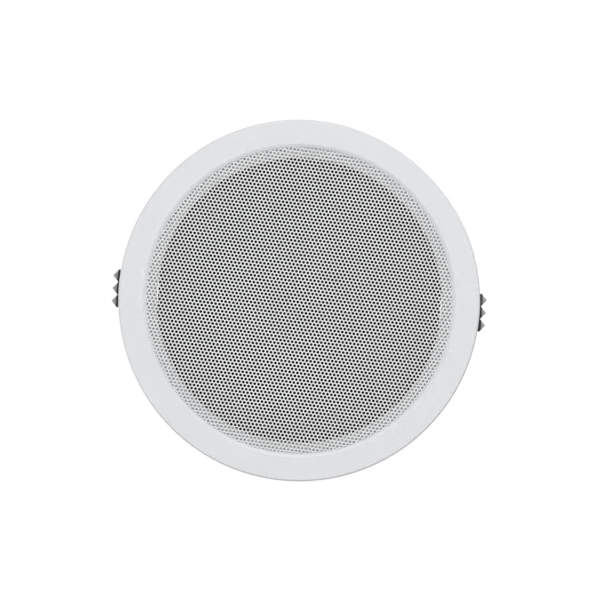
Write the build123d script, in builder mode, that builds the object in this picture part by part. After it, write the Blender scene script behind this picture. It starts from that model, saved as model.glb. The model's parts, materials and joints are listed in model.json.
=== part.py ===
"""In-ceiling speaker: moulded frame, perforated grille, cone driver and two spring clips.

Frame of the part, in millimetres: the speaker as it hangs in a ceiling. The Z axis is the axis of the
cone, +Z points up into the ceiling void, z = 0 is the plane of the rim's back, which lies against the
ceiling, and the clips stand on +X and -X.
"""
import os
from math import asin, atan2, cos, hypot, sin, sqrt, tan

from build123d import *

# Driver flange, from which the frame is laid out
flange_radius = 82.2
flange_clearance = 0.4
seat_width = 5.5
basket_sheet = 1.0

# Front frame
rim_overlap = 12.9
rim_depth = 5.0
rim_draft = 0.6
recess_chamfer = 1.7
collar_wall = 2.0
collar_height = 12.0
ledge_width = 5.9
ledge_drop = 1.5
land_width = 0.6
seat_height = 4.2

# Pockets that core out the back of the rim, with ribs between them
rim_wall = 2.2
pocket_margin = 2.0
rib_count = 24
rib_width = 1.6

# Grille: a perforated sheet, its hole pattern drawn several times coarser than the real one
grille_clearance = 0.1
grille_thickness = 0.8
grille_setback = 0.75
hole_pitch = 2.08
hole_share = 0.745
coarsening = 8
row_angle = 4.4
grille_border = 2.5

# Spring clips
tooth_overhang = 3.45
tooth_depth = 2.9
tooth_pitch = 6.85
tooth_count = 3
tooth_flat = 2.4
clip_gap = 6.0
clip_width = 20.4
clip_sheet = 1.2
clip_bend = 0.6
pivot_inset = 4.6
pivot_height = 24.0
ear_wall = 1.9
ear_corner = 1.6
web_tail = 3.0
pin_radius = 1.5
pin_head_radius = 2.4
pin_head = 1.0
pin_end = 0.8
pin_fit = 0.02
pin_running_fit = 0.06
lug_wall = 1.7
lug_thickness = 3.2
lug_gap = 0.4
gusset_reach = 6.5
gusset_height = 17.0
gusset_thickness = 2.4
sill_reach = 6.5
sill_gap = 0.45

# Torsion springs
wire = 0.9
coil_play = 0.15
coil_relief = 0.05
coil_length = 9.0
spring_gap = 0.3
arm_leg = 12.0
frame_leg = 11.0

# Driver: suspension and cone
flat_clearance = 0.6
flat_margin = 0.4
lip_width = 3.4
surround_width = 13.0
roll_height = 3.9
roll_flank = 3.0
cone_depth = 25.3
cone_sheet = 0.6
glue_gap = 0.05
cap_radius = 19.5
cap_sheet = 0.8
cap_gap = 0.2
spider_gap = 3.5
spider_sheet = 0.5
spider_margin = 2.0

# Driver: motor
pole_radius = 12.45
pole_clearance = 0.4
coil_wall = 0.85
plate_clearance = 0.45
former_front = 1.0
former_back = 2.0
landing_outer = 35.0
landing_inner = 26.5
cup_depth = 5.0
base_clearance = 0.9
top_plate_radius = 32.0
top_plate_thickness = 5.0
magnet_radius = 36.0
magnet_bore = 17.0
magnet_thickness = 10.0
yoke_radius = 31.0
yoke_thickness = 4.5

# Basket arms
arm_count = 4
arm_width = 22.0
arm_spread = 12.0
arm_root = 3.0
bead_width = 8.0
bead_height = 1.4
bead_margin = 5.0

# Driver screws
screw_count = 4
screw_inset = 2.8
screw_radius = 1.45
screw_play = 0.25
screw_fit = 0.02
screw_head_radius = 2.9
screw_head = 2.0
screw_floor = 0.8
pilot_allowance = 0.4

# Terminals, on the flange at -Y
strip_length = 24.0
strip_width = 8.0
strip_thickness = 1.6
tag_spacing = 14.0
tag_width = 4.8
tag_sheet = 0.8
tag_height = 9.0
tag_foot = 5.0
tag_eye = 0.9
tag_eye_drop = 3.0
lead_radius = 0.6
lead_bow = 4.0
lead_reach = 40.0
lead_gap = 0.3

# Radii worked out from the driver outwards
aperture_radius = flange_radius - seat_width
grille_radius = aperture_radius + ledge_width
recess_radius = grille_radius + grille_clearance
collar_inner = flange_radius + flange_clearance
collar_radius = collar_inner + collar_wall
rim_radius = collar_radius + rim_overlap

# Heights worked out from the ceiling plane
rim_front = -rim_depth
grille_front = rim_front + grille_setback
grille_back = grille_front + grille_thickness
ledge_front = grille_back + ledge_drop
flange_front = seat_height
flange_back = flange_front + basket_sheet

# Clip pivots and the slope of the released arm
pivot_x = collar_radius - pivot_inset
lug_half = pin_radius + lug_wall
ear_radius = pin_radius + ear_wall
coil_inner = pin_radius + coil_play
coil_mean = coil_inner + wire / 2
coil_outer = coil_inner + wire
web_offset = coil_outer + spring_gap
tip_u = rim_radius + tooth_overhang - pivot_x
bend_u = tip_u - tooth_flat
bend_v = clip_gap - pivot_height
slope = atan2(-bend_v, bend_u) + asin(web_offset / hypot(bend_u, bend_v))
along = Vector(cos(slope), -sin(slope))
across = Vector(sin(slope), cos(slope))
ear_y = clip_width / 2 - clip_sheet / 2
lug_y = clip_width / 2 + lug_gap + lug_thickness / 2
leg_y = (coil_length - wire) / 2
sill_x = pivot_x + coil_mean + wire / 2 + spring_gap
sill_notch = leg_y - wire / 2 - 2 * spring_gap
sill_outer = sqrt(collar_radius**2 - sill_reach**2)
sill_top = clip_gap + (bend_u - (sill_outer - pivot_x)) * tan(slope) - sill_gap

# Driver levels and radii
flat_x = pivot_x - lug_half - flat_clearance
surround_outer = flat_x - flat_margin
roll_inner = surround_outer - surround_width
basket_mouth = surround_outer - lip_width
coil_bore = pole_radius + pole_clearance
coil_radius = coil_bore + coil_wall
cone_neck = coil_radius + glue_gap
neck_height = flange_front + cone_depth
spider_front = neck_height + spider_gap
landing_front = spider_front + spider_sheet
base_front = landing_front + cup_depth
plate_front = base_front + basket_sheet
magnet_front = plate_front + top_plate_thickness
yoke_front = magnet_front + magnet_thickness
screw_circle = flange_radius - screw_inset
pilot_depth = seat_height - ledge_front - screw_floor
screw_depth = pilot_depth - pilot_allowance


def clip_plane(side):
    """Plane across one clip with its origin on the pin: x outwards, y up, normal along the pin."""
    return Plane(origin=(side * pivot_x, 0, pivot_height), x_dir=(side, 0, 0), z_dir=(0, -side, 0))


def cone_height(radius):
    """Height of the cone's front face at a radius."""
    return flange_front + cone_depth * (roll_inner - radius) / (roll_inner - cone_neck)


# Front frame: one revolved section with the driver's seat inside its collar, a cored rim, and the clips'
# lugs with their gussets and sills
with BuildPart() as front_frame:
    with BuildSketch(Plane.XZ):
        with BuildLine():
            Polyline(
                (aperture_radius, ledge_front),
                (recess_radius - land_width, ledge_front),
                (recess_radius - land_width, grille_back),
                (recess_radius, grille_back),
                (recess_radius, grille_front),
                (recess_radius + recess_chamfer, rim_front),
                (rim_radius - rim_draft, rim_front),
                (rim_radius, 0),
                (collar_radius, 0),
                (collar_radius, collar_height),
                (collar_inner, collar_height),
                (collar_inner, seat_height),
                (aperture_radius, seat_height),
                close=True,
            )
        make_face()
    revolve(axis=Axis.Z)

    with Locations(Plane.XY.offset(seat_height)):
        with PolarLocations(screw_circle, screw_count, start_angle=180 / screw_count):
            Hole(screw_radius + screw_fit, depth=pilot_depth)

    with BuildSketch():
        Circle(rim_radius - rim_wall)
        Circle(collar_radius + pocket_margin, mode=Mode.SUBTRACT)
        with PolarLocations(collar_radius, rib_count):
            Rectangle(2 * rim_overlap, rib_width, mode=Mode.SUBTRACT)
    extrude(amount=rim_wall - rim_depth, mode=Mode.SUBTRACT)

    for side in (1, -1):
        for end in (1, -1):
            with BuildSketch(clip_plane(side).offset(end * lug_y)):
                Circle(lug_half)
                Rectangle(2 * lug_half, pivot_height, align=(Align.CENTER, Align.MAX))
                Circle(pin_radius + pin_fit, mode=Mode.SUBTRACT)
            extrude(amount=lug_thickness / 2, both=True)
            with BuildSketch(Plane.YZ.offset(side * pivot_x)):
                with BuildLine():
                    Polyline(
                        (end * lug_y, 0),
                        (end * (lug_y + lug_thickness / 2 + gusset_reach), 0),
                        (end * (lug_y + lug_thickness / 2 + gusset_reach), seat_height),
                        (end * (lug_y + lug_thickness / 2), gusset_height),
                        (end * lug_y, gusset_height),
                        close=True,
                    )
                make_face()
            extrude(amount=gusset_thickness / 2, both=True)

    with BuildSketch():
        for side in (1, -1):
            with Locations((side * (sill_x + sill_outer) / 2, side * (sill_reach - sill_notch) / 2)):
                Rectangle(sill_outer - sill_x, sill_reach + sill_notch)
    extrude(amount=sill_top)

# Grille: perforated disc on the frame's ledge, holes on a hexagonal grid turned by the row angle
coarse_pitch = hole_pitch * coarsening
hole_radius = coarse_pitch * hole_share / 2
hole_reach = grille_radius - grille_border - hole_radius
grid_span = int(grille_radius / coarse_pitch) + 2
grid = [
    Vector(column + row / 2, row * sqrt(3) / 2) * coarse_pitch
    for row in range(-grid_span, grid_span + 1)
    for column in range(-2 * grid_span, 2 * grid_span + 1)
]
with BuildPart() as grille_mesh:
    with BuildSketch(Plane.XY.offset(grille_front)):
        Circle(grille_radius)
        with Locations(Location((0, 0), row_angle)):
            with Locations([centre for centre in grid if centre.length <= hole_reach]):
                RegularPolygon(hole_radius, 6, major_radius=False, rotation=30, mode=Mode.SUBTRACT)
    extrude(amount=grille_thickness)

# Basket arm: bent sheet along +X, tapered in plan, with a pressed bead on its back
wall_lean = atan2(landing_front - flange_front, basket_mouth - landing_outer)
wall_shift = basket_sheet * (1 - cos(wall_lean)) / sin(wall_lean)
cup_back = landing_front + basket_sheet
arm_foot = Vector(basket_mouth + wall_shift, flange_back)
arm_head = Vector(landing_outer + wall_shift, cup_back)
arm_run = (arm_head - arm_foot).normalized()
arm_rise = Vector(arm_run.Y, -arm_run.X)
root_width = arm_width + arm_spread
with BuildPart() as basket_arm:
    with BuildSketch(Plane.XZ):
        with BuildLine():
            Polyline(
                (basket_mouth + arm_root, flange_front),
                (basket_mouth, flange_front),
                (landing_outer, landing_front),
                (landing_outer - arm_root, landing_front),
                (landing_outer - arm_root, cup_back),
                arm_head,
                arm_foot,
                (basket_mouth + arm_root, flange_back),
                close=True,
            )
        make_face()
    extrude(amount=root_width / 2, both=True)

    with BuildSketch(Plane.XY.offset(flange_front)):
        with BuildLine():
            Polyline(
                (landing_outer - arm_root, -arm_width / 2),
                (basket_mouth + arm_root, -root_width / 2),
                (basket_mouth + arm_root, root_width / 2),
                (landing_outer - arm_root, arm_width / 2),
                close=True,
            )
        make_face()
    extrude(amount=cup_back - flange_front, mode=Mode.INTERSECT)

    with BuildSketch(Plane.XZ):
        with BuildLine():
            Polyline(
                arm_foot + arm_run * bead_margin - arm_rise * basket_sheet / 2,
                arm_foot + arm_run * bead_margin,
                arm_foot + arm_run * (bead_margin + bead_height) + arm_rise * bead_height,
                arm_head - arm_run * (bead_margin + bead_height) + arm_rise * bead_height,
                arm_head - arm_run * bead_margin,
                arm_head - arm_run * bead_margin - arm_rise * basket_sheet / 2,
                close=True,
            )
        make_face()
    extrude(amount=bead_width / 2, both=True)

# Basket: flange ring, cup for spider and motor, and the arms between them
with BuildPart() as basket:
    with BuildSketch(Plane.XY.offset(flange_front)):
        Circle(flange_radius)
        Circle(basket_mouth, mode=Mode.SUBTRACT)
        Rectangle(2 * flat_x, 2 * flange_radius, mode=Mode.INTERSECT)
        with PolarLocations(screw_circle, screw_count, start_angle=180 / screw_count):
            Circle(screw_radius + screw_play, mode=Mode.SUBTRACT)
    extrude(amount=basket_sheet)

    with BuildSketch(Plane.XZ):
        with BuildLine():
            Polyline(
                (landing_outer, landing_front),
                (landing_inner, landing_front),
                (landing_inner, base_front),
                (coil_radius + base_clearance, base_front),
                (coil_radius + base_clearance, plate_front),
                (landing_inner + basket_sheet, plate_front),
                (landing_inner + basket_sheet, cup_back),
                (landing_outer, cup_back),
                close=True,
            )
        make_face()
    revolve(axis=Axis.Z)

    with PolarLocations(0, arm_count, start_angle=180 / arm_count):
        add(basket_arm.part)

# Driver screws: hexagonal heads on the flange, shanks in the frame's seat
with BuildPart() as driver_screws:
    with BuildSketch(Plane.XY.offset(flange_back)):
        with PolarLocations(screw_circle, screw_count, start_angle=180 / screw_count):
            RegularPolygon(screw_head_radius, 6)
    extrude(amount=screw_head)
    with BuildSketch(Plane.XY.offset(flange_front - screw_depth)):
        with PolarLocations(screw_circle, screw_count, start_angle=180 / screw_count):
            Circle(screw_radius)
    extrude(amount=screw_depth + basket_sheet)

# Surround: ring under the flange that bulges to the front and carries the cone's edge
with BuildPart() as surround:
    with BuildSketch(Plane.XZ):
        with BuildLine():
            Polyline(
                (surround_outer, flange_front),
                (surround_outer - roll_flank, flange_front - roll_height),
                (roll_inner + roll_flank, flange_front - roll_height),
                (roll_inner, flange_front),
                close=True,
            )
        make_face()
    revolve(axis=Axis.Z)

# Cone: paper shell from the surround down to the voice coil
cone_lean = atan2(cone_depth, roll_inner - cone_neck)
cone_shift = cone_sheet / sin(cone_lean)
cone_rise = cone_sheet / cos(cone_lean)
with BuildPart() as cone:
    with BuildSketch(Plane.XZ):
        with BuildLine():
            Polyline(
                (roll_inner, flange_front),
                (cone_neck, neck_height),
                (cone_neck, neck_height + cone_rise),
                (roll_inner + cone_shift, flange_front),
                close=True,
            )
        make_face()
    revolve(axis=Axis.Z)

# Dust cap: disc over the neck, glued to the front of the cone
with BuildPart() as dust_cap:
    with BuildSketch(Plane.XY.offset(cone_height(cap_radius) - cap_gap - cap_sheet)):
        Circle(cap_radius)
    extrude(amount=cap_sheet)

# Voice coil: former and winding, in the gap between pole and top plate
coil_front = neck_height - former_front
with BuildPart() as voice_coil:
    with BuildSketch(Plane.XY.offset(coil_front)):
        Circle(coil_radius)
        Circle(coil_bore, mode=Mode.SUBTRACT)
    extrude(amount=magnet_front + former_back - coil_front)

# Spider: suspension disc from the basket's landing to the coil
with BuildPart() as spider:
    with BuildSketch(Plane.XY.offset(spider_front)):
        Circle(landing_outer - spider_margin)
        Circle(coil_radius + glue_gap, mode=Mode.SUBTRACT)
    extrude(amount=spider_sheet)

# Motor: top plate, ferrite ring, and back plate with the pole
with BuildPart() as top_plate:
    with BuildSketch(Plane.XY.offset(plate_front)):
        Circle(top_plate_radius)
        Circle(coil_radius + plate_clearance, mode=Mode.SUBTRACT)
    extrude(amount=top_plate_thickness)

with BuildPart() as magnet:
    with BuildSketch(Plane.XY.offset(magnet_front)):
        Circle(magnet_radius)
        Circle(magnet_bore, mode=Mode.SUBTRACT)
    extrude(amount=magnet_thickness)

with BuildPart() as t_yoke:
    with BuildSketch(Plane.XY.offset(yoke_front)):
        Circle(yoke_radius)
    extrude(amount=yoke_thickness)
    with BuildSketch(Plane.XY.offset(plate_front)):
        Circle(pole_radius)
    extrude(amount=yoke_front - plate_front)

# Terminals: insulating strip on the flange, two angled tags with a wire eye, two leads to the cone's back
strip_y = -(basket_mouth + wall_shift + flange_radius) / 2
strip_top = flange_back + strip_thickness
with BuildPart() as terminal_strip:
    with BuildSketch(Plane.XY.offset(flange_back)):
        with Locations((0, strip_y)):
            Rectangle(strip_length, strip_width)
    extrude(amount=strip_thickness)

with BuildPart() as terminal_tags:
    for x in (tag_spacing / 2, -tag_spacing / 2):
        with BuildSketch(Plane.YZ.offset(x)):
            with BuildLine():
                Polyline(
                    (strip_y - tag_foot / 2, strip_top),
                    (strip_y + tag_foot / 2, strip_top),
                    (strip_y + tag_foot / 2, strip_top + tag_sheet),
                    (strip_y - tag_foot / 2 + tag_sheet, strip_top + tag_sheet),
                    (strip_y - tag_foot / 2 + tag_sheet, strip_top + tag_height),
                    (strip_y - tag_foot / 2, strip_top + tag_height),
                    close=True,
                )
            make_face()
        extrude(amount=tag_width / 2, both=True)
    with BuildSketch(Plane.XZ.offset(tag_foot / 2 - strip_y)):
        with Locations((0, strip_top + tag_height - tag_eye_drop)):
            with GridLocations(tag_spacing, 0, 2, 1):
                Circle(tag_eye)
    extrude(amount=-tag_sheet, mode=Mode.SUBTRACT)

lead_start = strip_top + tag_sheet + lead_radius
lead_end = cone_height(lead_reach) + cone_rise + lead_radius + lead_gap
with BuildPart() as tinsel_leads:
    for x in (tag_spacing / 2, -tag_spacing / 2):
        first = Vector(x, strip_y + tag_foot / 2, lead_start)
        last = Vector(x, -lead_reach, lead_end)
        with BuildLine() as route:
            Polyline(first, (first + last) / 2 + Vector(0, 0, lead_bow), last)
        with BuildSketch(Plane(first, x_dir=(1, 0, 0), z_dir=route.line % 0)):
            RegularPolygon(lead_radius, 6)
        sweep(path=route.line, transition=Transition.RIGHT)

# Clip pins: headed pins through the lugs and the ears of the arms
with BuildPart() as clip_pins:
    lug_face = lug_y + lug_thickness / 2
    for side in (1, -1):
        with BuildSketch(clip_plane(side).offset(-lug_face - pin_end)):
            Circle(pin_radius)
        extrude(amount=2 * lug_face + pin_end + pin_fit)
        with BuildSketch(clip_plane(side).offset(lug_face + pin_fit)):
            Circle(pin_head_radius)
        extrude(amount=pin_head)

# Clip arms: folded strip with ears on the pin, a web that slopes out and a flat toothed end
tail = -web_tail
lower_tail = along * tail + across * web_offset
upper_tail = along * tail + across * (web_offset + clip_sheet)
upper_run = ((web_offset + clip_sheet) * cos(slope) - bend_v - clip_sheet) / sin(slope)
upper_bend = along * upper_run + across * (web_offset + clip_sheet)
valley_x = rim_radius + tooth_overhang - tooth_depth
tip_x = rim_radius + tooth_overhang
edge_y = tooth_count * tooth_pitch / 2
clip_arms = {}
for name, side in (("right", 1), ("left", -1)):
    with BuildPart() as arm:
        with BuildSketch(clip_plane(side)) as strip:
            with BuildLine():
                Polyline(
                    lower_tail,
                    (bend_u, bend_v),
                    (tip_u, bend_v),
                    (tip_u, bend_v + clip_sheet),
                    upper_bend,
                    upper_tail,
                    close=True,
                )
            make_face()
            fillet(strip.vertices().sort_by_distance((bend_u, bend_v))[0], radius=clip_bend + clip_sheet)
            fillet(strip.vertices().sort_by_distance(upper_bend)[0], radius=clip_bend)
        extrude(amount=clip_width / 2, both=True)
        for end in (1, -1):
            with BuildSketch(clip_plane(side).offset(end * ear_y)):
                with BuildLine():
                    Polyline(
                        along * -ear_radius + across * (web_offset + clip_sheet),
                        along * -ear_radius - across * (ear_radius - ear_corner),
                        along * (ear_corner - ear_radius) - across * ear_radius,
                        along * (ear_radius - ear_corner) - across * ear_radius,
                        along * ear_radius - across * (ear_radius - ear_corner),
                        along * ear_radius + across * (web_offset + clip_sheet),
                        close=True,
                    )
                make_face()
                Circle(pin_radius + pin_running_fit, mode=Mode.SUBTRACT)
            extrude(amount=clip_sheet / 2, both=True)
        with BuildSketch(Plane.XY.offset(clip_gap - clip_sheet)):
            with BuildLine():
                edge = [(side * (tip_x + tooth_depth), -edge_y - tooth_pitch)]
                for step in range(2 * tooth_count + 1):
                    reach = tip_x if step % 2 else valley_x
                    edge.append((side * reach, step * tooth_pitch / 2 - edge_y))
                edge.append((side * (tip_x + tooth_depth), edge_y + tooth_pitch))
                Polyline(*edge, close=True)
            make_face()
        extrude(amount=pivot_height, mode=Mode.SUBTRACT)
    clip_arms[name] = arm

# Torsion springs: coil on the pin, one leg under the arm's web, one leg against the frame's sill
clip_springs = {}
for name, side in (("right", 1), ("left", -1)):
    plane = clip_plane(side)
    with BuildPart() as spring:
        with BuildSketch(plane):
            Circle(coil_outer + coil_relief)
            Circle(coil_inner - coil_relief, mode=Mode.SUBTRACT)
        extrude(amount=coil_length / 2, both=True)
        arm_leg_start = plane.from_local_coords(across * coil_mean + Vector(0, 0, leg_y))
        arm_leg_end = plane.from_local_coords(across * coil_mean + along * arm_leg + Vector(0, 0, leg_y))
        with BuildSketch(Plane(arm_leg_start, x_dir=(0, 1, 0), z_dir=arm_leg_end - arm_leg_start)):
            Rectangle(wire, wire)
        extrude(amount=arm_leg)
        frame_leg_start = plane.from_local_coords(Vector(coil_mean, 0, -leg_y))
        with BuildSketch(Plane(frame_leg_start, x_dir=(0, 1, 0), z_dir=(0, 0, -1))):
            Rectangle(wire, wire)
        extrude(amount=frame_leg)
    clip_springs[name] = spring

pieces = {
    "front_frame": front_frame,
    "grille_mesh": grille_mesh,
    "basket": basket,
    "driver_screws": driver_screws,
    "surround": surround,
    "cone": cone,
    "dust_cap": dust_cap,
    "voice_coil": voice_coil,
    "spider": spider,
    "top_plate": top_plate,
    "magnet": magnet,
    "t_yoke": t_yoke,
    "terminal_strip": terminal_strip,
    "terminal_tags": terminal_tags,
    "tinsel_leads": tinsel_leads,
    "clip_pins": clip_pins,
    "clip_arm_right": clip_arms["right"],
    "clip_arm_left": clip_arms["left"],
    "clip_spring_right": clip_springs["right"],
    "clip_spring_left": clip_springs["left"],
}

os.makedirs("parts", exist_ok=True)
for name, piece in pieces.items():
    piece.part.label = name
    export_step(piece.part, f"parts/{name}.step")
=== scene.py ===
# In-ceiling speaker, face down as it hangs: the grille looks along -Z, the clips stand on +X and -X.
import json

import bpy
import numpy as np
from mathutils import Matrix, Vector


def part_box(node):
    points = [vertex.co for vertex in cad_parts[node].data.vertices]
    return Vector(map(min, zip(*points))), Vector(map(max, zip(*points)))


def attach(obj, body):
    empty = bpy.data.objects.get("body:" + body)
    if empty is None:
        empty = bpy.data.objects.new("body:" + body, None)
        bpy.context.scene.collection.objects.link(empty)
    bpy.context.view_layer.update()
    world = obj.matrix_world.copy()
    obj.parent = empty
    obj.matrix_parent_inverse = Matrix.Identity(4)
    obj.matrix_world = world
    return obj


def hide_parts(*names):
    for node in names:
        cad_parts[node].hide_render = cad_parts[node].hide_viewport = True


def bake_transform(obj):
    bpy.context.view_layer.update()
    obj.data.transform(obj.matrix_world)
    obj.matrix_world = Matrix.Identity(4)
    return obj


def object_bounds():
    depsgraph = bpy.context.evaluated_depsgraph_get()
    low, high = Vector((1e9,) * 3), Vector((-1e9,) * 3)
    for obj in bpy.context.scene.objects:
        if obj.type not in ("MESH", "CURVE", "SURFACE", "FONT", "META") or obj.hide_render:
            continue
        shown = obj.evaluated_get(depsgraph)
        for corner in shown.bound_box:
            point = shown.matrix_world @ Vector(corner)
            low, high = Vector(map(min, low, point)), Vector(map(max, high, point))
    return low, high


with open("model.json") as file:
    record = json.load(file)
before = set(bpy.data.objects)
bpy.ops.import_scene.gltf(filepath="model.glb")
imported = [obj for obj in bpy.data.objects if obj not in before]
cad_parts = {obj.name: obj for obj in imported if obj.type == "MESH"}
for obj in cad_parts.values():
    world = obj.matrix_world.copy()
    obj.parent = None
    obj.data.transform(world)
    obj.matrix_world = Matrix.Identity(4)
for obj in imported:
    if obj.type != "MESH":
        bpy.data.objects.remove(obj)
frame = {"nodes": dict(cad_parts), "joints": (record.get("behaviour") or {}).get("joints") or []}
cadLow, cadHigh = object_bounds()
nodes = frame["nodes"]
pivots = {joint["child"]: np.array(joint["pos_m"]) for joint in frame["joints"] if "pos_m" in joint}
millimetre = 0.001
print("frame loaded with", len(nodes), "nodes")


# Shader maths: operators on wires add Math nodes, put() adds any other node

class Wire:
    def __init__(self, tree, socket=None):
        self.tree = tree
        self.socket = socket

    def put(self, kind, settings=None, values=None, take=0):
        made = self.tree.nodes.new(kind)
        for name, value in (settings or {}).items():
            setattr(made, name, value)
        for key, value in (values or {}).items():
            if isinstance(value, Wire):
                self.tree.links.new(value.socket, made.inputs[key])
            else:
                made.inputs[key].default_value = value
        return Wire(self.tree, made.outputs[take] if made.outputs else None)

    def maths(self, operation, first, second):
        return self.put("ShaderNodeMath", {"operation": operation}, {0: first, 1: second})

    def __add__(self, other):
        return self.maths("ADD", self, other)

    def __radd__(self, other):
        return self.maths("ADD", other, self)

    def __sub__(self, other):
        return self.maths("SUBTRACT", self, other)

    def __rsub__(self, other):
        return self.maths("SUBTRACT", other, self)

    def __mul__(self, other):
        return self.maths("MULTIPLY", self, other)

    def __rmul__(self, other):
        return self.maths("MULTIPLY", other, self)

    def __pow__(self, other):
        return self.maths("POWER", self, other)

    def __rpow__(self, other):
        return self.maths("POWER", other, self)


def noise(place, scale, detail=2.0, roughness=0.5):
    return place.put("ShaderNodeTexNoise", None,
                     {"Vector": place, "Scale": scale, "Detail": detail, "Roughness": roughness})


def stretched(place, scale):
    # the same place with each axis scaled on its own, for grain that runs one way
    return place.put("ShaderNodeMapping", None, {"Vector": place, "Scale": scale})


def toned(factor, look):
    # colour between the look's low and high
    return factor.put("ShaderNodeMix", {"data_type": "RGBA"},
                      {0: factor, 6: (*look["low"], 1), 7: (*look["high"], 1)}, take=2)


def relief(height, look):
    depth = look["depth"] * millimetre
    return height.put("ShaderNodeBump", None,
                      {"Strength": look["strength"], "Distance": depth, "Height": height})


def split(place):
    # the three parts of a vector
    parts = place.put("ShaderNodeSeparateXYZ", None, {"Vector": place})
    return [Wire(place.tree, parts.socket.node.outputs[axis]) for axis in "XYZ"]


def axisDistance(place):
    # distance from the cone's axis: sqrt(x^2 + y^2)
    x, y, _ = split(place)
    return (x * x + y * y) ** 0.5


def rings(distance, pitch):
    # 0 to 1 wave over a distance, one crest for each pitch
    wave = distance.put("ShaderNodeMath", {"operation": "SINE"}, {0: distance * (2 * np.pi / pitch)})
    return wave * 0.5 + 0.5


def rising(value, start, end):
    # 0 up to start, 1 from end on, eased between
    return value.put("ShaderNodeMapRange", {"interpolation_type": "SMOOTHSTEP"},
                     {"Value": value, "From Min": start, "From Max": end})


def material(name, recipe, look):
    made = bpy.data.materials.new(name)
    made.use_nodes = True
    made.node_tree.nodes.clear()
    start = Wire(made.node_tree)
    place = start.put("ShaderNodeTexCoord", take="Object")
    shader = start.put("ShaderNodeBsdfPrincipled", None, recipe(place, look))
    start.put("ShaderNodeOutputMaterial", None, {"Surface": shader})
    return made


# Finishes: colours from low to high, roughness and what the noise adds to it, noise scales per metre,
# relief depth and other lengths in millimetres

frameLook = {"low": (0.735, 0.745, 0.762), "high": (0.765, 0.775, 0.79), "roughness": 0.42,
             "rougher": 0.12, "grain": 2400, "cloud": 30, "depth": 0.02, "strength": 0.5}


def framePlastic(place, look):
    grain = noise(place, look["grain"], detail=3)
    cloud = noise(place, look["cloud"])
    return {
        "Base Color": toned(cloud, look),
        "Roughness": look["roughness"] + grain * look["rougher"],
        "Normal": relief(grain, look),
    }


grilleLook = {"low": (0.79, 0.795, 0.80), "high": (0.83, 0.835, 0.84), "roughness": 0.45,
              "rougher": 0.1, "peel": 1500, "cloud": 45, "depth": 0.015, "strength": 0.4}


def grillePaint(place, look):
    peel = noise(place, look["peel"])
    cloud = noise(place, look["cloud"], detail=3)
    return {
        "Base Color": toned(cloud, look),
        "Roughness": look["roughness"] + peel * look["rougher"],
        "Normal": relief(peel, look),
    }


basketLook = {"low": (0.008, 0.008, 0.009), "high": (0.026, 0.026, 0.028), "roughness": 0.38,
              "rougher": 0.2, "gloss": 0.3, "peel": 900, "dust": 60, "depth": 0.03, "strength": 0.5}


def basketPaint(place, look):
    peel = noise(place, look["peel"], detail=3)
    dust = noise(place, look["dust"], detail=5, roughness=0.65)
    return {
        "Base Color": toned(dust, look),
        "Roughness": look["roughness"] + dust * look["rougher"],
        "Specular IOR Level": look["gloss"],
        "Normal": relief(peel, look),
    }


plateLook = {"low": (0.09, 0.095, 0.1), "high": (0.36, 0.36, 0.35), "roughness": 0.28,
             "bloomRougher": 0.15, "bandsRougher": 0.2, "latheRougher": 0.06, "turning": 0.45,
             "wander": 0.1, "wanderScale": 120, "bands": 420, "bloom": 70, "bandTone": 0.65,
             "bloomTone": 0.35, "latheRelief": 0.4, "bandRelief": 0.6, "depth": 0.02, "strength": 0.6}


def plateZinc(place, look):
    # turned face: fine rings that wander a little, and broader bands where the cut was coarser
    distance = axisDistance(place)
    wander = noise(place, look["wanderScale"]) * (look["wander"] * millimetre)
    lathe = rings(distance + wander, look["turning"] * millimetre)
    along = place.put("ShaderNodeCombineXYZ", None, {"X": distance})
    bands = noise(along, look["bands"], detail=4, roughness=0.6)
    bloom = noise(place, look["bloom"], detail=4, roughness=0.6)
    rough = look["roughness"] + bloom * look["bloomRougher"] + bands * look["bandsRougher"]
    return {
        "Base Color": toned(bands * look["bandTone"] + bloom * look["bloomTone"], look),
        "Metallic": 1.0,
        "Roughness": rough + lathe * look["latheRougher"],
        "Normal": relief(lathe * look["latheRelief"] + bands * look["bandRelief"], look),
    }


screwLook = {"low": (0.16, 0.16, 0.16), "high": (0.34, 0.33, 0.3), "roughness": 0.3, "rougher": 0.2,
             "bloom": 400, "depth": 0.02, "strength": 0.4}


def screwZinc(place, look):
    bloom = noise(place, look["bloom"], detail=4, roughness=0.6)
    return {
        "Base Color": toned(bloom, look),
        "Metallic": 1.0,
        "Roughness": look["roughness"] + bloom * look["rougher"],
        "Normal": relief(bloom, look),
    }


# clip steel; the highlight range, depth and tone paint a highlight under the toothed ends
clipLook = {"low": (0.09, 0.09, 0.095), "high": (0.27, 0.27, 0.27), "roughness": 0.3, "rougher": 0.22,
            "stretch": (1.0, 30.0, 1.0), "brush": 160, "bloom": 150, "paintedHighlight": (98.2, 99.6),
            "highlightDepth": 0.4, "bloomTone": 0.35, "brushTone": 0.25, "highlightTone": 0.4,
            "depth": 0.008, "strength": 0.5}


def clipSteel(place, look):
    # darkened spring steel, with a painted highlight: the underside of the toothed ends is made lighter
    brushed = noise(stretched(place, look["stretch"]), look["brush"], detail=4, roughness=0.65)
    bloom = noise(place, look["bloom"], detail=3)
    inner, outer = np.array(look["paintedHighlight"]) * millimetre
    _, _, height = split(place)
    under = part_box("clip_arm_right")[0].z
    # painted highlight: lighter from 98.2 to 99.6 mm off the axis, only within 0.4 mm of the arm's
    # underside
    paintedHighlight = rising(axisDistance(place), inner, outer)
    paintedHighlight = paintedHighlight * (1 - rising(height, under, under + look["highlightDepth"] * millimetre))
    tone = bloom * look["bloomTone"] + brushed * look["brushTone"] + paintedHighlight * look["highlightTone"]
    return {
        "Base Color": toned(tone, look),
        "Metallic": 1.0,
        "Roughness": look["roughness"] + brushed * look["rougher"],
        "Normal": relief(brushed, look),
    }


springLook = {"low": (0.22, 0.21, 0.2), "high": (0.42, 0.41, 0.39), "roughness": 0.28, "rougher": 0.15,
              "drawn": 700}


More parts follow.
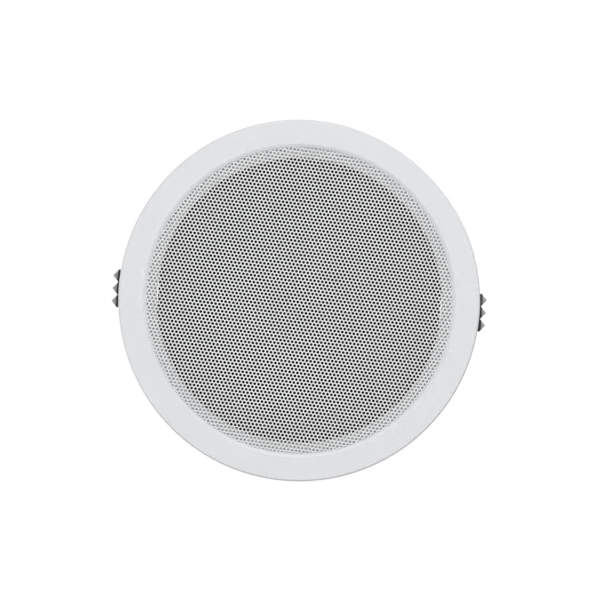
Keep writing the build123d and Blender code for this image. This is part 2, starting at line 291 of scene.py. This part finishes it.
def springSteel(place, look):
    drawn = noise(place, look["drawn"], detail=4, roughness=0.6)
    return {
        "Base Color": toned(drawn, look),
        "Metallic": 1.0,
        "Roughness": look["roughness"] + drawn * look["rougher"],
    }


rubberLook = {"low": (0.006, 0.006, 0.006), "high": (0.014, 0.014, 0.014), "roughness": 0.6,
              "rougher": 0.2, "gloss": 0.3, "bloom": 90, "pores": 2200, "depth": 0.03, "strength": 0.5}


def surroundRubber(place, look):
    bloom = noise(place, look["bloom"], detail=4, roughness=0.6)
    pores = noise(place, look["pores"])
    return {
        "Base Color": toned(bloom, look),
        "Roughness": look["roughness"] + bloom * look["rougher"],
        "Specular IOR Level": look["gloss"],
        "Normal": relief(pores, look),
    }


paperLook = {"low": (0.005, 0.005, 0.005), "high": (0.016, 0.0155, 0.015), "roughness": 0.8,
             "rougher": 0.15, "gloss": 0.25, "fibre": 700, "fibreRelief": 0.25, "ribPitch": 7.0,
             "ribPower": 4, "depth": 0.35, "strength": 0.7}


def conePaper(place, look):
    fibre = noise(place, look["fibre"], detail=6, roughness=0.7)
    ribs = rings(axisDistance(place), look["ribPitch"] * millimetre) ** look["ribPower"]
    return {
        "Base Color": toned(fibre, look),
        "Roughness": look["roughness"] + fibre * look["rougher"],
        "Specular IOR Level": look["gloss"],
        "Normal": relief(fibre * look["fibreRelief"] + ribs, look),
    }


copperLook = {"low": (0.42, 0.14, 0.06), "high": (0.72, 0.33, 0.16), "roughness": 0.3, "rougher": 0.1,
              "varnish": 500, "wire": 0.3, "depth": 0.08, "strength": 1.0}


def coilCopper(place, look):
    _, _, height = split(place)
    turns = rings(height, look["wire"] * millimetre)
    return {
        "Base Color": toned(turns, look),
        "Metallic": 1.0,
        "Roughness": look["roughness"] + noise(place, look["varnish"]) * look["rougher"],
        "Normal": relief(turns, look),
    }


clothLook = {"low": (0.33, 0.2, 0.045), "high": (0.56, 0.38, 0.12), "roughness": 0.85, "thread": 0.5,
             "stain": 300, "weaveTone": 0.7, "stainTone": 0.3, "depth": 0.15, "strength": 0.8}


def spiderCloth(place, look):
    # threads along X and Y, highest where both crests meet
    x, y, _ = split(place)
    thread = look["thread"] * millimetre
    weave = rings(x, thread) * rings(y, thread)
    stain = noise(place, look["stain"], detail=3)
    return {
        "Base Color": toned(weave * look["weaveTone"] + stain * look["stainTone"], look),
        "Roughness": look["roughness"],
        "Normal": relief(weave, look),
    }


ferriteLook = {"low": (0.02, 0.02, 0.022), "high": (0.07, 0.07, 0.073), "roughness": 0.55,
               "rougher": 0.15, "gloss": 0.35, "sinter": 1100, "stretch": (1.0, 12.0, 1.0), "ground": 90,
               "sinterTone": 0.6, "groundTone": 0.4, "depth": 0.06, "strength": 0.6}


def ferriteGrey(place, look):
    sinter = noise(place, look["sinter"], detail=5, roughness=0.7)
    ground = noise(stretched(place, look["stretch"]), look["ground"], detail=3)
    return {
        "Base Color": toned(sinter * look["sinterTone"] + ground * look["groundTone"], look),
        "Roughness": look["roughness"] + ground * look["rougher"],
        "Specular IOR Level": look["gloss"],
        "Normal": relief(sinter, look),
    }


boardLook = {"low": (0.16, 0.062, 0.02), "high": (0.27, 0.11, 0.04), "roughness": 0.45, "rougher": 0.15,
             "stretch": (1.0, 1.0, 14.0), "layers": 200, "depth": 0.02, "strength": 0.5}


def stripBoard(place, look):
    layers = noise(stretched(place, look["stretch"]), look["layers"], detail=4, roughness=0.6)
    return {
        "Base Color": toned(layers, look),
        "Roughness": look["roughness"] + layers * look["rougher"],
        "Normal": relief(layers, look),
    }


brassLook = {"low": (0.5, 0.36, 0.13), "high": (0.72, 0.56, 0.26), "roughness": 0.25, "rougher": 0.2,
             "tarnish": 350}


def tagBrass(place, look):
    tarnish = noise(place, look["tarnish"], detail=5, roughness=0.65)
    return {
        "Base Color": toned(tarnish, look),
        "Metallic": 1.0,
        "Roughness": look["roughness"] + tarnish * look["rougher"],
    }


solderLook = {"low": (0.5, 0.5, 0.5), "high": (0.72, 0.72, 0.71), "roughness": 0.22, "rougher": 0.25,
              "frost": 900, "depth": 0.03, "strength": 0.5}


def solderGrey(place, look):
    frost = noise(place, look["frost"], detail=4, roughness=0.6)
    return {
        "Base Color": toned(frost, look),
        "Metallic": 1.0,
        "Roughness": look["roughness"] + frost * look["rougher"],
        "Normal": relief(frost, look),
    }


glueLook = {"low": (0.008, 0.008, 0.008), "high": (0.02, 0.02, 0.02), "roughness": 0.18, "rougher": 0.1,
            "sag": 250}


def leadGlue(place, look):
    sag = noise(place, look["sag"])
    return {
        "Base Color": toned(sag, look),
        "Roughness": look["roughness"] + sag * look["rougher"],
    }


braidLook = {"low": (0.24, 0.1, 0.04), "high": (0.68, 0.4, 0.22), "metallic": 0.6, "roughness": 0.35,
             "strands": 5, "lays": 26, "depth": 0.12, "strength": 0.8}


def leadBraid(place, look):
    # two sets of strands wound both ways round the lead, read from its UV map: u along, v around
    u, v, _ = split(place.put("ShaderNodeTexCoord", take="UV"))
    right = rings(u * look["lays"] + v * look["strands"], 1.0)
    left = rings(u * look["lays"] - v * look["strands"], 1.0)
    plait = right.maths("MAXIMUM", right, left)
    return {
        "Base Color": toned(plait, look),
        "Metallic": look["metallic"],
        "Roughness": look["roughness"],
        "Normal": relief(plait, look),
    }


finishes = {
    "front_frame": material("framePlastic", framePlastic, frameLook),
    "basket": material("basketPaint", basketPaint, basketLook),
    "driver_screws": material("screwZinc", screwZinc, screwLook),
    "cone": material("conePaper", conePaper, paperLook),
    "voice_coil": material("coilCopper", coilCopper, copperLook),
    "top_plate": material("plateZinc", plateZinc, plateLook),
    "magnet": material("ferriteGrey", ferriteGrey, ferriteLook),
    "terminal_strip": material("stripBoard", stripBoard, boardLook),
    "terminal_tags": material("tagBrass", tagBrass, brassLook),
    "clip_pins": material("clipSteel", clipSteel, clipLook),
}
finishes["t_yoke"] = finishes["top_plate"]
finishes["clip_arm_right"] = finishes["clip_arm_left"] = finishes["clip_pins"]
for name, finish in finishes.items():
    nodes[name].data.materials.clear()
    nodes[name].data.materials.append(finish)
print("finishes on", len(finishes), "CAD nodes")

# Broken edges on the CAD nodes: width in millimetres and segments, on edges sharper than the angle

edges = {
    "front_frame": (0.5, 3),
    "basket": (0.25, 2),
    "top_plate": (0.5, 2),
    "magnet": (0.9, 3),
    "t_yoke": (0.6, 3),
    "driver_screws": (0.3, 2),
    "clip_pins": (0.25, 2),
    "clip_arm_right": (0.15, 2),
    "clip_arm_left": (0.15, 2),
    "terminal_strip": (0.2, 2),
    "terminal_tags": (0.12, 2),
}
sharperThan = np.radians(32)
flatWithin = np.radians(0.3)
weldWithin = 0.001 * millimetre
flatMerged = ("t_yoke", "driver_screws", "clip_pins")  # their slivers would hold the bevel back
rounding = {"width": 0.55, "segments": 4, "reach": 0.1,
            # radius and height of each rounded circle, its share of the width, and the least |y|,
            # which keeps the collar's rounding clear of the clips' lugs
            "circles": ((96.9, -5.0, 1.0, 0.0), (97.5, 0.0, 0.7, 0.0),
                        (84.6, 12.0, 0.7, 20.0), (82.6, 12.0, 0.7, 20.0))}


def roundFrame(node):
    # bevel weight on the chords of the rim's and the collar's circles, those whose middle is within reach
    mesh = node.data
    points = np.zeros(len(mesh.vertices) * 3, np.float32)
    mesh.vertices.foreach_get("co", points)
    ends = np.zeros(len(mesh.edges) * 2, np.int32)
    mesh.edges.foreach_get("vertices", ends)
    middles = points.reshape(-1, 3)[ends.reshape(-1, 2)].mean(axis=1) / millimetre
    distance = np.hypot(middles[:, 0], middles[:, 1])
    shares = np.zeros(len(middles), np.float32)
    for radius, height, share, clear in rounding["circles"]:
        near = np.maximum(abs(distance - radius), abs(middles[:, 2] - height)) < rounding["reach"]
        shares[near & (abs(middles[:, 1]) >= clear)] = share
    mesh.attributes.new("bevel_weight_edge", "FLOAT", "EDGE").data.foreach_set("value", shares)
    rounded = node.modifiers.new("rounded", "BEVEL")
    rounded.limit_method = "WEIGHT"
    rounded.width = rounding["width"] * millimetre
    rounded.segments = rounding["segments"]
    rounded.use_clamp_overlap = False
    rounded.harden_normals = True
    print("frame rounded on", np.count_nonzero(shares), "edges")


for name, (width, segments) in edges.items():
    weld = nodes[name].modifiers.new("weld", "WELD")
    weld.merge_threshold = weldWithin
    if name == "front_frame":
        roundFrame(nodes[name])
    if name in flatMerged:
        flats = nodes[name].modifiers.new("flats", "DECIMATE")
        flats.decimate_type = "DISSOLVE"
        flats.angle_limit = flatWithin
    bevel = nodes[name].modifiers.new("bevel", "BEVEL")
    bevel.width = width * millimetre
    bevel.segments = segments
    bevel.limit_method = "ANGLE"
    bevel.angle_limit = sharperThan
    bevel.harden_normals = True
print("edges broken on", len(edges), "CAD nodes")


# Mesh makers

def meshObject(name, points, quads, triangles=None, smooth=True, uv=None):
    # loose arrays into one mesh: quads (n, 4) first, then triangles (m, 3)
    triangles = np.zeros((0, 3), int) if triangles is None else triangles
    loops = np.concatenate([quads.ravel(), triangles.ravel()]).astype(np.int32)
    sizes = np.concatenate([np.full(len(quads), 4), np.full(len(triangles), 3)]).astype(np.int32)
    starts = np.concatenate([[0], np.cumsum(sizes)[:-1]]).astype(np.int32)
    mesh = bpy.data.meshes.new(name)
    mesh.vertices.add(len(points))
    mesh.vertices.foreach_set("co", np.ascontiguousarray(points, np.float32).ravel())
    mesh.loops.add(len(loops))
    mesh.loops.foreach_set("vertex_index", loops)
    mesh.polygons.add(len(sizes))
    mesh.polygons.foreach_set("loop_start", starts)
    mesh.polygons.foreach_set("loop_total", sizes)
    mesh.polygons.foreach_set("use_smooth", np.full(len(sizes), smooth))
    if uv is not None:
        layer = mesh.uv_layers.new(name="lead")
        layer.data.foreach_set("uv", np.ascontiguousarray(uv[loops], np.float32).ravel())
    mesh.update(calc_edges=True)
    mesh.validate()
    made = bpy.data.objects.new(name, mesh)
    bpy.context.scene.collection.objects.link(made)
    return made


def gridQuads(rows, columns, wrapRows, wrapColumns):
    # quads of a rows by columns grid of points, joined end to end where it wraps
    down = np.arange(rows if wrapRows else rows - 1)[:, None]
    along = np.arange(columns if wrapColumns else columns - 1)[None, :]
    nextDown = (down + 1) % rows
    nextAlong = (along + 1) % columns
    corners = (down * columns + along, nextDown * columns + along,
               nextDown * columns + nextAlong, down * columns + nextAlong)
    return np.stack([np.broadcast_to(c, (down.size, along.size)).ravel() for c in corners], 1)


def turnedPoints(profile, around):
    # profile of (radius, height) swept round Z: (r cos a, r sin a, z)
    angle = np.linspace(0, 2 * np.pi, around, endpoint=False)
    radius, height = profile[:, :1], profile[:, 1:]
    return np.stack([radius * np.cos(angle), radius * np.sin(angle), height + 0 * angle], 2).reshape(-1, 3)


def turned(name, profile, around):
    # a closed profile turned into a ring
    return meshObject(name, turnedPoints(profile, around), gridQuads(len(profile), around, True, True))


def sheetProfile(line, thickness):
    # a line given a thickness: each point moved half of it along the line's normal, both ways, ends closed
    slope = np.gradient(line, axis=0)
    normal = np.stack([-slope[:, 1], slope[:, 0]], 1) / np.linalg.norm(slope, axis=1)[:, None]
    return np.concatenate([line + normal * thickness / 2, (line - normal * thickness / 2)[::-1]])


def tube(path, radius, side, around):
    # circle carried along a path, its first axis across the path and the side vector, ends closed
    along = np.gradient(path, axis=0)
    along /= np.linalg.norm(along, axis=1)[:, None]
    first = np.cross(along, side)
    first /= np.linalg.norm(first, axis=1)[:, None]
    second = np.cross(along, first)
    angle = np.linspace(0, 2 * np.pi, around, endpoint=False)
    ring = first[:, None] * np.cos(angle)[None, :, None] + second[:, None] * np.sin(angle)[None, :, None]
    points = np.concatenate([(path[:, None] + radius * ring).reshape(-1, 3), path[:1], path[-1:]])
    quads = gridQuads(len(path), around, False, True)[:, ::-1]
    step = np.arange(around)
    firstEnd, lastEnd = len(path) * around, len(path) * around + 1
    lastRow = (len(path) - 1) * around
    caps = np.concatenate([
        np.stack([np.full(around, firstEnd), (step + 1) % around, step], 1),
        np.stack([np.full(around, lastEnd), lastRow + step, lastRow + (step + 1) % around], 1),
    ])
    u = np.repeat(np.linspace(0, 1, len(path)), around)
    v = np.tile(np.linspace(0, 1, around, endpoint=False), len(path))
    uv = np.concatenate([np.stack([u, v], 1), [[0, 0], [1, 0]]])
    return points, quads, caps, uv


def dome(centre, radius, height, lean, rows=8, around=20):
    # round blob on a flat seat: r = R sin t, h = H cos t, closed at top and seat,
    # its axis leant from +Z towards -Y
    t = np.linspace(np.pi / 2, 0, rows)
    profile = np.stack([radius * np.sin(t[:-1]), height * np.cos(t[:-1])], 1)
    upright = np.array([[1, 0, 0], [0, np.cos(lean), np.sin(lean)], [0, -np.sin(lean), np.cos(lean)]])
    poles = [[0, 0, height], [0, 0, 0]]
    points = np.concatenate([turnedPoints(profile, around), poles]) @ upright + centre
    quads = gridQuads(rows - 1, around, False, True)[:, ::-1]
    step = np.arange(around)
    following = (step + 1) % around
    last, top = (rows - 2) * around, (rows - 1) * around
    caps = np.concatenate([
        np.stack([last + step, last + following, np.full(around, top)], 1),
        np.stack([following, step, np.full(around, top + 1)], 1),
    ])
    return points, quads, caps


def joined(parts):
    # several (points, quads, triangles, ...) into one, indices moved on
    shift = np.cumsum([0] + [len(part[0]) for part in parts[:-1]])
    stacks = [np.concatenate([part[0] for part in parts])]
    for which in (1, 2):
        stacks.append(np.concatenate([part[which] + move for part, move in zip(parts, shift)]))
    if len(parts[0]) > 3:
        stacks.append(np.concatenate([part[3] for part in parts]))
    return stacks


def place(piece, finish, slot, body=None, stands=()):
    piece.data.materials.append(finish)
    if body:
        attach(piece, body)
    if stands:
        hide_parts(*stands)
    return piece


def followCone(piece, inner, outer):
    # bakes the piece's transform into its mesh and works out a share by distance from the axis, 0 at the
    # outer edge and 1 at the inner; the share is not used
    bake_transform(piece)
    points = np.zeros(len(piece.data.vertices) * 3, np.float32)
    piece.data.vertices.foreach_get("co", points)
    points = points.reshape(-1, 3)
    share = np.clip((outer - np.hypot(points[:, 0], points[:, 1])) / (outer - inner), 0, 1)
    share = share * share * (3 - 2 * share)


# Grille: every hole of the perforated sheet

grille = {"pitch": 2.08, "holeWidth": 1.55, "rowTurn": 4.4, "offset": (-0.67, 0.85), "backRoom": 0.02}


def perforatedSheet():
    # holes at pitch * (i + j / 2, j sqrt(3) / 2); a hole's corners lie at 30 + 60 k degrees, on a hexagon
    # with the round hole's area; a strip lies between each two holes and a triangle between each three
    low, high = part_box("grille_mesh")
    radius, front, back = high.x, low.z, high.z - grille["backRoom"] * millimetre
    pitch = grille["pitch"] * millimetre
    reach = grille["holeWidth"] / 2 * millimetre * np.sqrt(2 * np.pi / 27 ** 0.5)
    rows = int(radius / pitch / np.sin(np.pi / 3)) + 3
    columns = int(radius / pitch) + rows // 2 + 3
    i, j = np.meshgrid(np.arange(-columns, columns + 1), np.arange(-rows, rows + 1), indexing="ij")
    corner = np.radians(30 + 60 * np.arange(6))
    x = pitch * (i + j / 2)[..., None] + reach * np.cos(corner)
    y = pitch * (j * np.sin(np.pi / 3))[..., None] + reach * np.sin(corner)
    turn = np.radians(grille["rowTurn"])
    shiftX, shiftY = np.array(grille["offset"]) * millimetre
    flat = np.stack([x * np.cos(turn) - y * np.sin(turn) + shiftX,
                     x * np.sin(turn) + y * np.cos(turn) + shiftY], -1)
    number = np.arange(x.size).reshape(x.shape)
    a, b = number[:-1, :-1], number[1:, :-1]
    c, d = number[:-1, 1:], number[1:, 1:]
    strips = np.concatenate([
        np.stack([a[..., 5], b[..., 3], b[..., 2], a[..., 0]], -1).reshape(-1, 4),
        np.stack([a[..., 0], c[..., 4], c[..., 3], a[..., 1]], -1).reshape(-1, 4),
        np.stack([b[..., 1], c[..., 5], c[..., 4], b[..., 2]], -1).reshape(-1, 4),
    ])
    knots = np.concatenate([
        np.stack([a[..., 0], b[..., 2], c[..., 4]], -1).reshape(-1, 3),
        np.stack([b[..., 1], d[..., 3], c[..., 5]], -1).reshape(-1, 3),
    ])
    flat = flat.reshape(-1, 2)
    distance = np.hypot(flat[:, 0], flat[:, 1])
    inside = distance < radius
    strips, knots = (f[inside[f].any(1)] for f in (strips, knots))
    flat = flat * np.minimum(1, radius / distance)[:, None]
    count = len(flat)
    points = np.concatenate([np.column_stack([flat, np.full(count, front)]),
                             np.column_stack([flat, np.full(count, back)])])
    # the walls hang on the sheet's own borders: each edge that only one strip or triangle has
    ring = np.concatenate([np.stack([f, np.roll(f, -1, 1)], -1).reshape(-1, 2) for f in (strips, knots)])
    border = ring[~np.isin(ring[:, 0] * count + ring[:, 1], ring[:, 1] * count + ring[:, 0])]
    walls = np.stack([border[:, 0], border[:, 1], border[:, 1] + count, border[:, 0] + count], 1)
    quads = np.concatenate([strips[:, ::-1], strips + count, walls])
    triangles = np.concatenate([knots[:, ::-1], knots + count])
    used = np.unique(np.concatenate([quads.ravel(), triangles.ravel()]))
    renumber = np.zeros(len(points), int)
    renumber[used] = np.arange(len(used))
    return meshObject("grilleSheet", points[used], renumber[quads], renumber[triangles], smooth=False)


grilleFinish = material("grillePaint", grillePaint, grilleLook)
place(perforatedSheet(), grilleFinish, "grille_paint", "frame", ["grille_mesh"])
print("grille perforated")

# Surround: half roll between two glued lips

surround = {"inner": 62.8, "outer": 75.8, "sheet": 0.8, "lip": 2.6, "lipFlat": 0.8, "lipSteps": 4,
            "rollSteps": 25, "around": 160}


def halfRoll():
    # lip, half ellipse towards the front, lip: z = seat - h sin t over r = middle + w cos t
    low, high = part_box("surround")
    sheet = surround["sheet"] * millimetre
    seat = high.z - sheet / 2
    inner, outer = surround["inner"] * millimetre, surround["outer"] * millimetre
    lip, steps = surround["lip"] * millimetre, surround["lipSteps"]
    flat = lip * surround["lipFlat"]
    t = np.linspace(0, np.pi, surround["rollSteps"])
    middle, half = (inner + outer) / 2, (outer - inner) / 2 - lip
    roll = np.stack([middle + half * np.cos(t), seat - (seat - low.z - sheet / 2) * np.sin(t)], 1)
    outerLip = np.stack([np.linspace(outer, outer - flat, steps), np.full(steps, seat)], 1)
    innerLip = np.stack([np.linspace(inner + flat, inner, steps), np.full(steps, seat)], 1)
    line = np.concatenate([outerLip, roll, innerLip])
    return turned("surroundRoll", sheetProfile(line, sheet), surround["around"])


roll = halfRoll()
rubberFinish = material("surroundRubber", surroundRubber, rubberLook)
place(roll, rubberFinish, "surround_rubber", stands=["surround"])
followCone(roll, (surround["inner"] + surround["lip"]) * millimetre,
           (surround["outer"] - surround["lip"]) * millimetre)
print("surround rolled")

# Spider: corrugated cloth from the basket's landing to the coil

spider = {"inner": 13.8, "outer": 33.0, "flat": 27.0, "wave": 3.2, "height": 0.9, "sheet": 0.4,
          "fadeIn": 1.0, "fadeOut": 2.0, "steps": 90, "around": 144}


def corrugated():
    # z = middle + h sin(2 pi (r - inner) / wave) over the free part, flat on the landing
    low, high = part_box("spider")
    inner, outer, flat = (spider[key] * millimetre for key in ("inner", "outer", "flat"))
    fadeIn, fadeOut = (spider[key] * millimetre for key in ("fadeIn", "fadeOut"))
    radius = np.linspace(inner, outer, spider["steps"])
    fade = np.clip((flat - radius) / fadeOut, 0, 1) * np.clip((radius - inner) / fadeIn, 0, 1)
    wave = np.sin(2 * np.pi * (radius - inner) / (spider["wave"] * millimetre))
    line = np.stack([radius, (low.z + high.z) / 2 + spider["height"] * millimetre * wave * fade], 1)
    return turned("spiderCloth", sheetProfile(line, spider["sheet"] * millimetre), spider["around"])


cloth = corrugated()
clothFinish = material("spiderCloth", spiderCloth, clothLook)
place(cloth, clothFinish, "spider_cloth", stands=["spider"])
followCone(cloth, (spider["inner"] + spider["fadeIn"]) * millimetre, spider["flat"] * millimetre)
print("spider corrugated")

# Dust cap: shallow dome over the neck

cap = {"radius": 19.4, "rise": 5.0, "sheet": 0.7, "eye": 0.02, "steps": 20, "around": 96}


def dustDome():
    # part of a sphere of radius (R^2 + h^2) / 2h, from the rim to just off the axis
    radius, rise = cap["radius"] * millimetre, cap["rise"] * millimetre
    ball = (radius ** 2 + rise ** 2) / (2 * rise)
    distance = np.linspace(radius, cap["eye"] * millimetre, cap["steps"])
    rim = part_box("dust_cap")[1].z - cap["sheet"] * millimetre / 2
    line = np.stack([distance, rim - (np.sqrt(ball ** 2 - distance ** 2) - (ball - rise))], 1)
    return turned("dustDome", sheetProfile(line, cap["sheet"] * millimetre), cap["around"])


place(dustDome(), finishes["cone"], "cone_paper", "cone_assembly", ["dust_cap"])
print("dust cap domed")

# Torsion springs: leg on the sill, close-wound coil on the pin, leg under the clip

spring = {"wire": 0.9, "coilRadius": 2.1, "coilLength": 8.1, "turns": 8, "armSlope": 50.47, "armLeg": 12.0,
          "frameLeg": 11.0, "legStart": 0.3, "legSteps": 12, "around": 10, "stepsPerTurn": 36}


def torsionSpring(name, body, hand):
    # in the clip's plane, u outwards, v up: leg (rc, -s), coil (rc cos a, rc sin a), leg (cos m, -sin m)
    slope = np.radians(spring["armSlope"])
    coil, half = spring["coilRadius"], spring["coilLength"] / 2
    last = 2 * np.pi * spring["turns"] + np.pi / 2 - slope
    angle = np.linspace(0, last, int(spring["turns"] * spring["stepsPerTurn"]))
    steps = spring["legSteps"]
    run = np.linspace(spring["frameLeg"], spring["legStart"], steps)
    frameLeg = np.stack([np.full(steps, coil), -run, np.full(steps, -half)], 1)
    turns = np.stack([coil * np.cos(angle), coil * np.sin(angle), half * (2 * angle / last - 1)], 1)
    away = np.linspace(spring["legStart"], spring["armLeg"], steps)
    armLeg = np.stack([coil * np.sin(slope) + away * np.cos(slope),
                       coil * np.cos(slope) - away * np.sin(slope), np.full(steps, half)], 1)
    u, v, w = (np.concatenate([frameLeg, turns, armLeg]) * millimetre).T
    path = pivots[body] + np.stack([hand * u, -hand * w, v], 1)
    made = meshObject(name, *tube(path, spring["wire"] / 2 * millimetre, (0, 1, 0), spring["around"])[:3])
    place(made, springFinish, "spring_steel", stands=["clip_spring_" + body[5:]])
    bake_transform(made)


springFinish = material("springSteel", springSteel, springLook)
torsionSpring("springRight", "clip_right", 1)
torsionSpring("springLeft", "clip_left", -1)
print("clip springs wound")

# Tinsel leads: braid from the tags to the back of the cone, soldered and glued at their ends

lead = {"radius": 0.6, "sag": 5.0, "steps": 40, "around": 12, "tagSheet": 0.8, "rivet": (1.25, 0.6),
        "solder": (1.2, 0.9), "solderBack": 0.2, "glue": (3.2, 2.0), "glueDrop": 1.5, "coneLean": 27.3,
        "stiffAtTag": 4.0, "stiffAtCone": 6.0}


def leadPath(low, high, x):
    # parabola through both ends, lifted off the cone: p(t) = a + (b - a) t + 4 s t (1 - t) up
    t = np.linspace(0, 1, lead["steps"])[:, None]
    radius = lead["radius"] * millimetre
    first = np.array([x, low.y, tagTop + radius])
    last = np.array([x, high.y - radius, high.z - radius])
    return first + (last - first) * t + np.array([0, 0, 1]) * 4 * lead["sag"] * millimetre * t * (1 - t)


leadLow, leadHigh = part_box("tinsel_leads")
tagLow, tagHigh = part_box("terminal_tags")
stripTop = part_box("terminal_strip")[1].z
tagTop = stripTop + lead["tagSheet"] * millimetre
spacing = (leadHigh.x + leadLow.x) / 2 + np.array([1, -1]) * (leadHigh.x - lead["radius"] * millimetre)
paths = [leadPath(leadLow, leadHigh, x) for x in spacing]
points, quads, caps, uv = joined([
    tube(path, lead["radius"] * millimetre, (1, 0, 0), lead["around"]) for path in paths
])
braid = meshObject("tinselBraid", points, quads, caps, uv=uv)
place(braid, material("leadBraid", leadBraid, braidLook), "lead_braid", stands=["tinsel_leads"])
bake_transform(braid)


def blobs(name, spots, size, finish, slot, body, lean=0.0):
    radius, height = np.array(size) * millimetre
    made = meshObject(name, *joined([dome(spot, radius, height, lean) for spot in spots]))
    return place(made, finish, slot, body)


tagMiddle = (tagLow.y + tagHigh.y) / 2
blobs("tagRivets", [(x, tagMiddle, tagTop) for x in spacing], lead["rivet"],
      finishes["terminal_tags"], "tag_brass", "frame")
solderSeat = leadLow.y - lead["solderBack"] * millimetre
blobs("leadSolder", [(x, solderSeat, tagTop) for x in spacing], lead["solder"],
      material("solderGrey", solderGrey, solderLook), "screw_zinc", "frame")
glueSeat = leadHigh.z - lead["glueDrop"] * millimetre
blobs("leadGlue", [(x, leadHigh.y, glueSeat) for x in spacing], lead["glue"],
      material("leadGlue", leadGlue, glueLook), "cone_paper", "cone_assembly", np.radians(lead["coneLean"]))
print("leads, rivets, solder and glue placed")

# Studio: pale floor, clear from below and fading to white far out, white surroundings, soft lamps

studio = {
    "floorHalf": 8.0,
    "fade": (0.3, 2.4),
    "floorColour": (0.62, 0.62, 0.625),
    "ambient": 0.36,
    "lamps": {
        "keyLamp": ((-0.1, -1.6, -2.5), 0.8, 46.5),
        "fillLamp": ((0.3, 1.15, -2.2), 2.0, 13.0),
        "backKey": ((0.9, -1.2, 1.7), 0.7, 28),
        "backFill": ((-1.6, 0.3, 1.4), 1.6, 16),
    },
}


def makeFloor():
    # square (u, v) in the plane of the lowest face, u and v from -half to +half
    u, v = np.meshgrid(np.array([-1, 1]) * studio["floorHalf"], np.array([-1, 1]) * studio["floorHalf"])
    corners = np.stack([u, v, np.full_like(u, cadLow.z)], 2).reshape(-1, 3)
    made = meshObject("floor", corners, gridQuads(2, 2, False, False)[:, ::-1])
    finish = bpy.data.materials.new("floorPale")
    finish.use_nodes = True
    finish.node_tree.nodes.clear()
    start = Wire(finish.node_tree)
    behind = start.put("ShaderNodeNewGeometry", take="Backfacing")
    paint = start.put("ShaderNodeBsdfDiffuse", None, {"Color": (*studio["floorColour"], 1)})
    white = start.put("ShaderNodeEmission")
    clear = start.put("ShaderNodeBsdfTransparent")
    far = rising(axisDistance(start.put("ShaderNodeTexCoord", take="Object")), *studio["fade"])
    ground = start.put("ShaderNodeMixShader", None, {0: far, 1: paint, 2: white})
    both = start.put("ShaderNodeMixShader", None, {0: behind, 1: ground, 2: clear})
    start.put("ShaderNodeOutputMaterial", None, {"Surface": both})
    made.data.materials.append(finish)
    made.visible_diffuse = made.visible_glossy = made.visible_shadow = False


def makeWorld():
    world = bpy.data.worlds.new("studioWhite")
    world.use_nodes = True
    world.node_tree.nodes.clear()
    start = Wire(world.node_tree)
    ray = start.put("ShaderNodeLightPath", take="Is Camera Ray")
    glossy = Wire(world.node_tree, ray.socket.node.outputs["Is Glossy Ray"])
    through = Wire(world.node_tree, ray.socket.node.outputs["Is Transmission Ray"])
    seen = ray.maths("MAXIMUM", ray.maths("MAXIMUM", ray, glossy), through)
    soft = start.put("ShaderNodeBackground", None, {"Color": (1, 1, 1, 1), "Strength": studio["ambient"]})
    white = start.put("ShaderNodeBackground", None, {"Color": (1, 1, 1, 1), "Strength": 1.0})
    both = start.put("ShaderNodeMixShader", None, {0: seen, 1: soft, 2: white})
    start.put("ShaderNodeOutputWorld", None, {"Surface": both})
    bpy.context.scene.world = world


def makeLamps():
    for name, (spot, size, power) in studio["lamps"].items():
        data = bpy.data.lights.new(name, "AREA")
        data.size = size
        data.energy = power
        made = bpy.data.objects.new(name, data)
        made.location = spot
        made.rotation_euler = (-Vector(spot)).to_track_quat("-Z", "Y").to_euler()
        bpy.context.scene.collection.objects.link(made)


makeFloor()
makeWorld()
makeLamps()
print("studio lit")

# Camera: straight below the face, turned so that the clips lie as in the picture

camera = {"distance": 4.0, "rimPixels": 181.0, "rimCentre": (299.2, 300.5), "imageSide": 600,
          "clipTilt": 3.85, "sensor": 36.0, "farEnd": 100}


def makeCamera():
    # right = (cos t, -sin t), up = (-sin t, -cos t), looking along +Z
    rim = (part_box("front_frame")[1].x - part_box("front_frame")[0].x) / 2
    turn = np.radians(camera["clipTilt"])
    right = Vector((np.cos(turn), -np.sin(turn), 0))
    up = Vector((-np.sin(turn), -np.cos(turn), 0))
    back = Vector((0, 0, -1))
    pixel = rim / camera["rimPixels"]
    half = camera["imageSide"] / 2
    aside = (half - camera["rimCentre"][0]) * pixel
    above = (camera["rimCentre"][1] - half) * pixel
    data = bpy.data.cameras.new("camera")
    data.sensor_width = camera["sensor"]
    data.lens = camera["sensor"] / 2 * camera["distance"] / (half * pixel)
    data.clip_end = camera["farEnd"]
    made = bpy.data.objects.new("camera", data)
    facing = Matrix((right, up, back)).transposed().to_4x4()
    made.matrix_world = Matrix.Translation(right * aside + up * above + back * camera["distance"]) @ facing
    bpy.context.scene.collection.objects.link(made)
    bpy.context.scene.camera = made


makeCamera()
bpy.context.scene.view_settings.view_transform = "Standard"
print("camera set")
